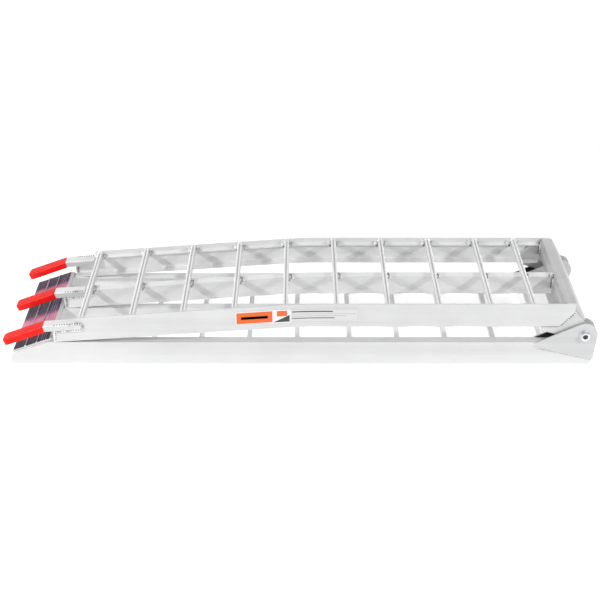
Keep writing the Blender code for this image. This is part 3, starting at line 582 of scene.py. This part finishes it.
def finger_path(start, end):
    """Stations of the finger's top line from start to end, in distance from the bend (to the left
    is positive): each the distance, a point, the direction along and the direction down."""
    slope = math.atan(ARCH_SLOPE)
    corner = Vector((FINGER_BEND_X, 0, arch(FINGER_BEND_X) - RUNG_DROP))
    turn = FINGER_DIP + slope
    reach = BEND_RADIUS * math.tan(turn / 2)
    right = Vector((math.cos(slope), 0, math.sin(slope)))
    left = Vector((-math.cos(FINGER_DIP), 0, -math.sin(FINGER_DIP)))
    bend = [-reach + 2 * reach * step / BEND_STATIONS for step in range(BEND_STATIONS + 1)]
    distances = sorted({start, end} | {distance for distance in bend if start < distance < end})
    stations = []
    for distance in distances:
        share = min(max((distance + reach) / (2 * reach), 0), 1)
        if share <= 0:
            point = corner - right * distance
        elif share >= 1:
            point = corner + left * distance
        else:
            first, last = corner + right * reach, corner + left * reach
            point = (first * (1 - share) ** 2 + corner * 2 * share * (1 - share) + last * share ** 2)
        angle = turn * share - slope
        ahead = Vector((-math.cos(angle), 0, -math.sin(angle)))
        down = Vector((math.sin(angle), 0, -math.cos(angle)))
        stations.append((distance, point, ahead, down))
    return stations


def with_round_tip(stations, tip_round):
    """Replace the last station by closer ones, so that the tip can be rounded."""
    distance, point, ahead, down = stations[-1]
    stations = stations[:-1]
    for step in range(TIP_STATIONS + 1):
        back = tip_round * (1 - math.sin(math.pi / 2 * step / TIP_STATIONS))
        stations.append((distance - back, point - ahead * back, ahead, down))
    return stations


def channel_outline(width, leg, thick, corner, inner, rim):
    """U-channel open below, as (across, depth), with rounded corners and rounded feet."""
    points = [(rim - rim * math.sin(a), leg - rim + rim * math.cos(a)) for a in RIM_ANGLES]
    points += [(corner - corner * math.cos(a), corner - corner * math.sin(a)) for a in CORNER_ANGLES]
    points += [(width - corner + corner * math.sin(a), corner - corner * math.cos(a))
               for a in CORNER_ANGLES]
    points += [(width - rim + rim * math.cos(a), leg - rim + rim * math.sin(a)) for a in RIM_ANGLES]
    points += [(width - thick, leg), (width - thick, thick + inner), (width - thick - inner, thick)]
    points += [(thick + inner, thick), (thick, thick + inner), (thick, leg)]
    return points


def finger_face(side):
    """Which way a finger's leg faces off its rail's web, and the Y of that face of the web."""
    facing = side or -1
    return facing, facing * HALF_WIDTH if side else MIDDLE_Y


def finger_mesh(side, grow, start, end, tip_round, rim):
    """Sweep a channel along the finger. grow makes it stand out from the bare finger all round."""
    facing, face = finger_face(side)
    outer_y = face + facing * (GAP + FINGER_THICK + grow)
    outline = channel_outline(FINGER_WIDTH + 2 * grow, FINGER_LEG + 2 * grow, FINGER_THICK + 2 * grow,
                              CHANNEL_CORNER + grow, CHANNEL_INNER, rim)
    half = FINGER_WIDTH / 2 + grow
    stations = finger_path(start, end)
    if tip_round:
        stations = with_round_tip(stations, tip_round)
    last = stations[-1][0]
    rings = []
    for distance, point, _, down in stations:
        narrow, drop = 1.0, 0.0
        if tip_round and last - distance < tip_round:
            curve = math.sqrt(max(1 - (1 - (last - distance) / tip_round) ** 2, 0))
            narrow = TIP_NARROW + (1 - TIP_NARROW) * curve
            drop = TIP_DROP * (1 - curve)
        ring = []
        for across, depth in outline:
            y = outer_y - facing * (half + (across - half) * narrow)
            lower = depth - grow
            lower = max(lower, drop - grow + TIP_DEPTH * lower)
            spot = point + down * lower
            ring.append((spot.x, y, spot.z))
        rings.append(ring)
    work = bmesh.new()
    loft(work, rings, columns=[int(index in TOP_STRIPS) for index in range(len(outline))])
    return work


TONGUE_RADIUS = 5.5 * MM
TONGUE_ARC_X = TONGUE_END_X - TONGUE_RADIUS
TONGUE_TOP_DROP = -RUNG_DROP - TONGUE_TOP       # below the tread
# Depth off the web and inset of the edge, in mm: a flat face with a rounded edge
TONGUE_LEVELS = ((0.3, 0), (2.2, 0), (2.7, 0.25), (2.95, 0.8))


def finger_tongue(label, side):
    """The tongue that laps the rail's web, round at its end."""
    facing, face = finger_face(side)
    root_x = FINGER_ROOT_X - TONGUE_LAP
    top, radius = TONGUE_TOP_DROP, TONGUE_RADIUS
    outline = [(root_x, top - 2 * radius)]
    outline += arc_points((TONGUE_ARC_X, top - radius), radius, -90, 90)
    outline.append((root_x, top))
    rings = []
    for depth, inset in TONGUE_LEVELS:
        inward = 1 - inset * MM / radius
        ring = []
        for x, z in outline:
            x = x if x < TONGUE_ARC_X else TONGUE_ARC_X + (x - TONGUE_END_X + radius) * inward
            z = top - radius + (z - top + radius) * inward
            ring.append((x, face + facing * depth * MM, z + arch(x)))
        rings.append(ring)
    work = bmesh.new()
    loft(work, rings)
    piece(f"finger_tongue_{label}", work, UPPER, [ALU_X])


def finger_welds(label, side):
    """Beads round the tongue, across the finger's root and up the end of the rail's web."""
    facing, face = finger_face(side)
    out = face + facing * 1.5 * MM
    top, radius, left_x, off = TONGUE_TOP_DROP, TONGUE_RADIUS, -487 * MM, 1.6 * MM
    around = [(left_x, top + 1.4 * MM)]
    around += arc_points((TONGUE_ARC_X, top - radius), radius + off, 90, -90, 12)
    around.append((left_x, top - 2 * radius - off))
    root_x = FINGER_ROOT_X + 1.0 * MM
    root_z = arch(root_x) - RUNG_DROP - 0.6 * MM
    across = [(root_x, face + facing * 2.0 * MM, root_z), (root_x, face - facing * 20 * MM, root_z)]
    weld(f"finger_weld_{label}", UPPER, [
        ([(x, out, z + arch(x)) for x, z in around], 2.1 * MM), (across, 1.8 * MM)],
        (0.1, -0.35, 0.55), True)
    web_y = (side * WEB_INNER if side else face) - 1.2 * MM
    end_x = UPPER_LEFT_X + 3.5 * MM
    upright = [(end_x, web_y, 55 * MM), (end_x + 0.8 * MM, web_y, 78 * MM)]
    weld(f"rail_end_weld_{label}", UPPER, [(upright, 2.1 * MM)], (0.65, -0.5, 0), True)


for label, side in (("near", -1), ("middle", 0), ("far", 1)):
    bar = finger_mesh(side, 0, FINGER_BEND_X - FINGER_ROOT_X, COVER_TIP - COVER_TIP_ROUND, 0, BAR_RIM)
    # The top of the bar is painted lighter than its sides
    piece(f"finger_bar_{label}", bar, UPPER, [ALU_FINGER, ALU_FINGER_TOP_LIT],
          [f"finger_{label}"], 50)
    cover = finger_mesh(side, COVER_THICK, COVER_END, COVER_TIP, COVER_TIP_ROUND, COVER_RIM)
    piece(f"finger_dip_{label}", cover, UPPER, [RED, RED], [f"finger_cover_{label}"], 50)
    finger_tongue(label, side)
    finger_welds(label, side)


# ---------------------------------------------------------------- foot plate

# Along the slope: share of its length, half width and height in mm
RIBS = [(0.36, 2.8, 1.2), (0.68, 2.2, 1.2), (0.80, 0.8, 0.5), (0.87, 0.8, 0.5), (0.94, 0.8, 0.5)]
RIB_TOP_SHARE = 0.62                # of the rib's width


def foot_plate():
    """Dark ribbed slope and a bare level lip, in one piece."""
    # The rib tops take the lighter colour of a painted highlight
    coated, painted_highlight, bare = 0, 1, 2
    along = BEVEL_HIGH - BEVEL_LOW
    length = along.length
    along.normalize()
    out = Vector((-along.y, along.x))
    base = BEVEL_LOW + out * GAP
    thick = PLATE_THICK
    slope = [(0.0, 0.0, coated), (0.0, thick - 0.8 * MM, coated), (0.8 * MM, thick, coated)]
    for share, half, height in RIBS:
        middle = share * length
        half, height = half * MM, height * MM
        slope += [(middle - half, thick, coated), (middle - half * RIB_TOP_SHARE, thick + height, painted_highlight),
                  (middle + half * RIB_TOP_SHARE, thick + height, painted_highlight), (middle + half, thick, coated)]
    slope.append((length - 1.5 * MM, thick, coated))
    outline = [(base + along * u + out * v, kind) for u, v, kind in slope]
    lip_z = RAIL_HEIGHT + GAP
    end_x = UPPER_LEFT_X - 2 * MM
    lip = [(BEVEL_HIGH.x + 0.6 * MM, lip_z + thick), (end_x - 0.6 * MM, lip_z + thick),
           (end_x, lip_z + thick - 0.6 * MM), (end_x, lip_z), (BEVEL_HIGH.x, lip_z)]
    outline += [(Vector(point), bare) for point in lip]
    strips = []
    for (_, first), (_, second) in zip(outline, outline[1:] + outline[:1]):
        on_rib = first == second == painted_highlight
        strips.append(painted_highlight if on_rib else bare if first == bare else coated)
    rings = []
    edge = 0.5 * MM
    for y, inset in ((-PLATE_HALF_WIDTH, edge), (edge - PLATE_HALF_WIDTH, 0), (PLATE_HALF_WIDTH - edge, 0),
                     (PLATE_HALF_WIDTH, edge)):
        rings.append([(point.x, y, point.y - (inset if kind != bare or point.y > lip_z + MM else 0))
                      for point, kind in outline])
    work = bmesh.new()
    loft(work, rings, bare, columns=strips)
    return piece("foot_plate", work, LOWER, [DARK, RIB_HIGHLIT_TOPS, ALU_FINGER], ["ground_plate"], 20)


foot_plate()


# ---------------------------------------------------------------- hinge hardware

ROUND_STEPS = 48
SIXTH = math.pi / 3                 # of a full turn
CHAMFER_RADIUS = 8.3 * MM           # where the chamfer of a hexagon's corners starts
CHAMFER_SLOPE = 0.58
WASHER_FACES = 151.1 * MM, 152.6 * MM           # |Y| of both
HEAD_Y = 152.9 * MM                 # |Y| under the bolt's head
NUT_Y = 123.9 * MM                  # |Y| of the nut's outer face
NUT_FLAT_HEIGHT = 6.6 * MM


def on_pin(side, radius, reach, angle):
    """A point round the hinge pin; reach is |Y|."""
    return (pin_x + radius * math.cos(angle), side * reach, pin_z + radius * math.sin(angle))


def turned_rings(side, profile, steps=ROUND_STEPS):
    """Rings round the pin from (radius, |Y|) pairs."""
    return [[on_pin(side, radius, reach, 2 * math.pi * step / steps) for step in range(steps)]
            for radius, reach in profile]


def hex_radius(flats, angle):
    """Distance from the middle of a hexagon to its outline; flats is its inner radius."""
    return flats / math.cos((angle + SIXTH / 2) % SIXTH - SIXTH / 2)


def hex_rings(side, foot, height, outward):
    """Rings of a hexagonal head or nut, chamfered at its corners. outward is 1 or -1 along |Y|."""
    rings = [[], [], []]
    for step in range(ROUND_STEPS):
        angle = 2 * math.pi * step / ROUND_STEPS
        radius = hex_radius(HEAD_FLATS / 2, angle)
        shoulder = height - (radius - CHAMFER_RADIUS) * CHAMFER_SLOPE
        levels = ((radius, 0), (radius, shoulder), (CHAMFER_RADIUS * 0.985, height))
        for ring, (out, up) in zip(rings, levels):
            ring.append(on_pin(side, out, foot + outward * up, angle))
    return rings


def hinge_disc(label, side):
    """Flat washer with rounded edges."""
    low, high = WASHER_FACES
    work = bmesh.new()
    loft(work, turned_rings(side, [
        (10.2 * MM, low), (10.5 * MM, low + 0.3 * MM), (10.5 * MM, high - 0.4 * MM), (10.1 * MM, high),
        (5.6 * MM, high), (5.3 * MM, high - 0.3 * MM), (5.3 * MM, low)], 40), closed=True)
    piece(f"hinge_disc_{label}", work, LOWER, [ZINC], [f"hinge_washer_{label}"], 30)


def hinge_hex_bolt(label, side):
    """Bolt: a dished hexagonal head with a near-black socket slab as painted shade, a shank and a few turns
    of thread.
    """
    work = bmesh.new()
    dish = turned_rings(side, [(6.6 * MM, HEAD_Y + HEAD_HEIGHT), (5.8 * MM, HEAD_Y + 5.7 * MM)])
    loft(work, hex_rings(side, HEAD_Y, HEAD_HEIGHT, 1) + dish)
    angles = [2 * math.pi * step / ROUND_STEPS for step in range(ROUND_STEPS)]
    # The socket is a thin near-black slab: painted shade where the recess would be dark
    socket = [[on_pin(side, hex_radius(flats, angle), HEAD_Y + up, angle) for angle in angles]
              for flats, up in ((4.9 * MM, 5.75 * MM), (4.6 * MM, 5.8 * MM))]
    loft(work, socket, 1)
    shank = [(BOLT_RADIUS, HEAD_Y + MM), (BOLT_RADIUS, 127 * MM)]
    for turn in range(8):
        reach = (126 - turn * 1.25) * MM
        shank += [(4.95 * MM, reach), (4.35 * MM, reach - 0.6 * MM)]
    shank += [(4.7 * MM, 115.4 * MM), (4.2 * MM, 114.4 * MM)]
    loft(work, turned_rings(side, shank, 24))
    piece(f"hinge_hex_bolt_{label}", work, LOWER, [ZINC, NEAR_BLACK], [f"hinge_bolt_{label}"], 25)


def hinge_lock_nut(label, side):
    """Hexagonal nut with a round collar."""
    work = bmesh.new()
    profile = ((7.0, 6.6), (6.9, 7.7), (6.5, 8.0), (5.4, 8.0), (5.3, 7.6))
    collar = turned_rings(side, [(radius * MM, NUT_Y - up * MM) for radius, up in profile])
    bore = turned_rings(side, [(5.3 * MM, NUT_Y)])
    loft(work, bore + hex_rings(side, NUT_Y, NUT_FLAT_HEIGHT, -1) + collar, closed=True)
    piece(f"hinge_lock_nut_{label}", work, LOWER, [ZINC], [f"hinge_nut_{label}"], 25)


for label, side in SIDES:
    hinge_disc(label, side)
    hinge_hex_bolt(label, side)
    hinge_lock_nut(label, side)


# ---------------------------------------------------------------- closed ends of the upper cross-member

# |Y| of each ring of an end cap and its size as a share of the beam's section
CAP_RINGS = ((139.2 * MM, 0.9), (141.1 * MM, 0.985), (141.4 * MM, 0.96))


def beam_end_cap(label, side):
    """Plate that closes one end of the beam, with rounded edges."""
    low_z, foot_x = TREAD_Z - BEAM_DEPTH, pin_x - GAP
    outline = [(BEAM_LEFT_X, low_z), (foot_x, low_z), (foot_x, low_z + BEAM_STEP), (BEAM_TOP_X, TREAD_Z),
               (BEAM_LEFT_X, TREAD_Z)]
    middle = Vector((sum(x for x, _ in outline), sum(z for _, z in outline))) / len(outline)
    work = bmesh.new()
    loft(work, [[(middle.x + (x - middle.x) * share, side * reach, middle.y + (z - middle.y) * share)
                 for x, z in outline] for reach, share in CAP_RINGS])
    piece(f"beam_end_cap_{label}", work, UPPER, [ALU_Y], (), 30)


for label, side in SIDES:
    beam_end_cap(label, side)


# ---------------------------------------------------------------- other weld beads

def side_welds(label, side):
    """Beads of one side's gusset, beam ends and lower hinge plate."""
    step_y, inner, beam, outer = (side * reach * MM for reach in (145.9, 140.4, 143, 148.2))
    weld(f"gusset_weld_{label}", UPPER, [
        ([(480.5 * MM, step_y, 86.6 * MM), (516.5 * MM, step_y, 86.8 * MM)], 1.5 * MM),
        ([(518.5 * MM, step_y, 88 * MM), (546 * MM, step_y, 119.2 * MM)], 1.9 * MM),
    ], (0, side * 0.9, 0.5), True)
    weld(f"beam_end_weld_{label}", UPPER, [
        ([(BEAM_LEFT_X - MM, inner, 133 * MM), (BEAM_LEFT_X - 1.4 * MM, inner, 103 * MM)], 2.8 * MM),
        ([(BEAM_LEFT_X + 2 * MM, beam, 135.6 * MM), (BEAM_TOP_X - 3 * MM, beam, 135.6 * MM)], 2.0 * MM),
    ], (-0.95, 0, -0.1))
    weld(f"side_plate_weld_{label}", LOWER, [
        ([(474 * MM, outer, 39.6 * MM), (586 * MM, outer, 12.6 * MM)], 1.25 * MM),
        ([(471.2 * MM, outer, 42 * MM), (471.2 * MM, outer, 49 * MM)], 1.25 * MM),
    ])
    weld(f"lower_beam_weld_{label}", LOWER, [
        ([(BEAM_TOP_X - MM, inner, 36 * MM), (BEAM_TOP_X - MM, inner, 6 * MM)], 2.0 * MM)])


def middle_welds():
    """Beads where the middle rails meet the cross-members."""
    top = TREAD_Z - RUNG_DROP
    collar = [(BEAM_LEFT_X - 2.4 * MM + u, MIDDLE_Y - 1.6 * MM, top + 3.4 * MM + v)
              for u, v in arc_points((0, 0), 5.2 * MM, 215, -75, 12)]
    upper_x, lower_x = BEAM_LEFT_X - 0.6 * MM, BEAM_TOP_X - 0.6 * MM
    high_y, low_y = MIDDLE_Y - 1.0 * MM, MIDDLE_Y - 1.4 * MM
    weld("middle_rail_weld_upper", UPPER, [
        (collar, 1.9 * MM),
        ([(upper_x, high_y, top - 3 * MM), (upper_x, low_y, 99.5 * MM)], 2.4 * MM),
    ], (-0.9, 0, -0.2))
    weld("middle_rail_weld_lower", LOWER, [
        ([(lower_x, high_y, 14 * MM), (lower_x, low_y, 38 * MM)], 2.0 * MM)])


for label, side in SIDES:
    side_welds(label, side)
middle_welds()


# ---------------------------------------------------------------- label

LABEL_BACK, LABEL_FACE, LABEL_RAISED = 147.8 * MM, 148.02 * MM, 148.08 * MM     # |Y|
LABEL_LEFT, LABEL_SPLIT, LABEL_RIGHT = -126, -17, 119       # X, in mm
LABEL_TOP, LABEL_BOTTOM = 9.5, 39.5             # below the tread, in mm
LABEL_STEP = 12 * MM
WHITE, ORANGE, BLACK, GREY, FILM = range(5)     # places in the label's list of materials
# X from and to, top and bottom below the tread, in mm, and the material
LABEL_BLOCKS = [
    (-124, -53, 11.5, 36, ORANGE), (-115, -62, 21.0, 27.0, BLACK), (-124, -60, 37.2, 38.2, GREY),
    (-44, -24, 12, 24, ORANGE), (-14, 66, 14.5, 17.0, BLACK), (-14, 112, 20.6, 21.6, GREY),
    (-14, 92, 25.0, 26.4, GREY), (-14, 70, 29.6, 31.4, BLACK), (-16, 116.4, 10.6, 11.0, GREY),
    (-16, 116.4, 38.2, 38.6, GREY), (116, 116.5, 10.6, 38.6, GREY)]
LABEL_WEDGE = [(-51, 37), (-19, 37), (-19, 22)]


def strip(work, low_x, high_x, top, bottom, front, back, material):
    """A thin plate on the near rail's face that follows the arch. The first four are in mm."""
    low_x, high_x, top, bottom = low_x * MM, high_x * MM, top * MM, bottom * MM
    count = max(1, round((high_x - low_x) / LABEL_STEP))
    rings = []
    for step in range(count + 1):
        x = low_x + (high_x - low_x) * step / count
        high, low = arch(x) - top, arch(x) - bottom
        rings.append([(x, -front, low), (x, -back, low), (x, -back, high), (x, -front, high)])
    loft(work, rings, material)


def plain_label():
    """Label with blocks and bars of colour on it, and no lettering."""
    work = bmesh.new()
    for low_x, high_x, material in ((LABEL_LEFT, LABEL_SPLIT, WHITE), (LABEL_SPLIT, LABEL_RIGHT, FILM)):
        strip(work, low_x, high_x, LABEL_TOP, LABEL_BOTTOM, LABEL_FACE, LABEL_BACK, material)
    for low_x, high_x, top, bottom, material in LABEL_BLOCKS:
        strip(work, low_x, high_x, top, bottom, LABEL_RAISED, LABEL_FACE, material)
    loft(work, [[(x * MM, -reach, arch(x * MM) - drop * MM) for x, drop in LABEL_WEDGE]
                for reach in (LABEL_RAISED, LABEL_FACE)], BLACK)
    materials = [LABEL_WHITE, LABEL_ORANGE, LABEL_DARK, LABEL_GREY, LABEL_FILM]
    piece("plain_label", work, UPPER, materials, ["label"], 20)


plain_label()


# ---------------------------------------------------------------- floor, light and camera

def add_floor():
    """Pale floor. It glows where the ramp shades it, as a light table does, and again far away."""
    work = bmesh.new()
    bmesh.ops.create_grid(work, x_segments=1, y_segments=1, size=9)
    mesh = bpy.data.meshes.new("floor")
    work.to_mesh(mesh)
    work.free()
    floor = bpy.data.objects.new("floor", mesh)
    floor.location.z = -0.0005
    bpy.context.scene.collection.objects.link(floor)
    material, tree, shader, place = new_material(
        "floor", Roughness=0.7, Base_Color=(0.90, 0.90, 0.90, 1), Emission_Color=(1, 1, 1, 1))
    parts = add_node(tree, "ShaderNodeSeparateXYZ", {"Vector": place})
    centred = maths(tree, "SUBTRACT", parts.outputs["Y"], 0.10)
    # Distance outside a box round the ramp's shade
    beyond = [maths(tree, "SUBTRACT", maths(tree, "ABSOLUTE", value, 0), half)
              for value, half in ((parts.outputs["X"], 0.60), (centred, 0.25))]
    outside = maths(tree, "MAXIMUM", *beyond)
    close = spread(tree, outside, 0.0, 0.08, 0.46, 0.13)
    distant = spread(tree, outside, 0.5, 2.5, 0, 0.3)
    tree.links.new(maths(tree, "ADD", close, distant), shader.inputs["Emission Strength"])
    mesh.materials.append(material)


def area_light(name, place, power, target=(0, 0, 0.05)):
    """Small square light that faces the middle of the ramp."""
    data = bpy.data.lights.new(name, "AREA")
    data.shape = "RECTANGLE"
    data.size = data.size_y = 0.1
    data.energy = power
    made = bpy.data.objects.new(name, data)
    bpy.context.scene.collection.objects.link(made)
    made.location = place
    made.rotation_euler = (Vector(target) - Vector(place)).to_track_quat("-Z", "Y").to_euler()


def add_world():
    """Even studio light, a little brighter from the left and from above."""
    world = bpy.data.worlds.new("studio")
    bpy.context.scene.world = world
    world.use_nodes = True
    tree = world.node_tree
    direction = add_node(tree, "ShaderNodeTexCoord").outputs["Generated"]
    parts = add_node(tree, "ShaderNodeSeparateXYZ", {"Vector": direction})
    side_tone = spread(tree, parts.outputs["X"], -0.6, 0.6, 0.84, 0.66)
    height_tone = spread(tree, parts.outputs["Z"], 0.0, 1.0, 0.95, 1.12)
    background = tree.nodes["Background"]
    background.inputs["Color"].default_value = (1, 1, 1, 1)
    tree.links.new(maths(tree, "MULTIPLY", side_tone, height_tone), background.inputs["Strength"])


def add_camera():
    """Long lens, straight across the ramp from its near side and from above."""
    data = bpy.data.cameras.new("camera")
    data.sensor_width = 36
    data.lens = 74.6
    camera = bpy.data.objects.new("camera", data)
    camera.location = (0.0015, -2.274, 1.336)
    pitch = math.radians(29.2)
    camera.rotation_euler = (math.pi / 2 - pitch, 0, 0)
    bpy.context.scene.collection.objects.link(camera)
    bpy.context.scene.camera = camera
    bpy.context.scene.view_settings.view_transform = "Standard"


add_floor()
area_light("left", (-1.5, -0.9, 1.05), 20)
area_light("right", (1.5, -0.9, 1.05), 15.5)
add_world()
add_camera()
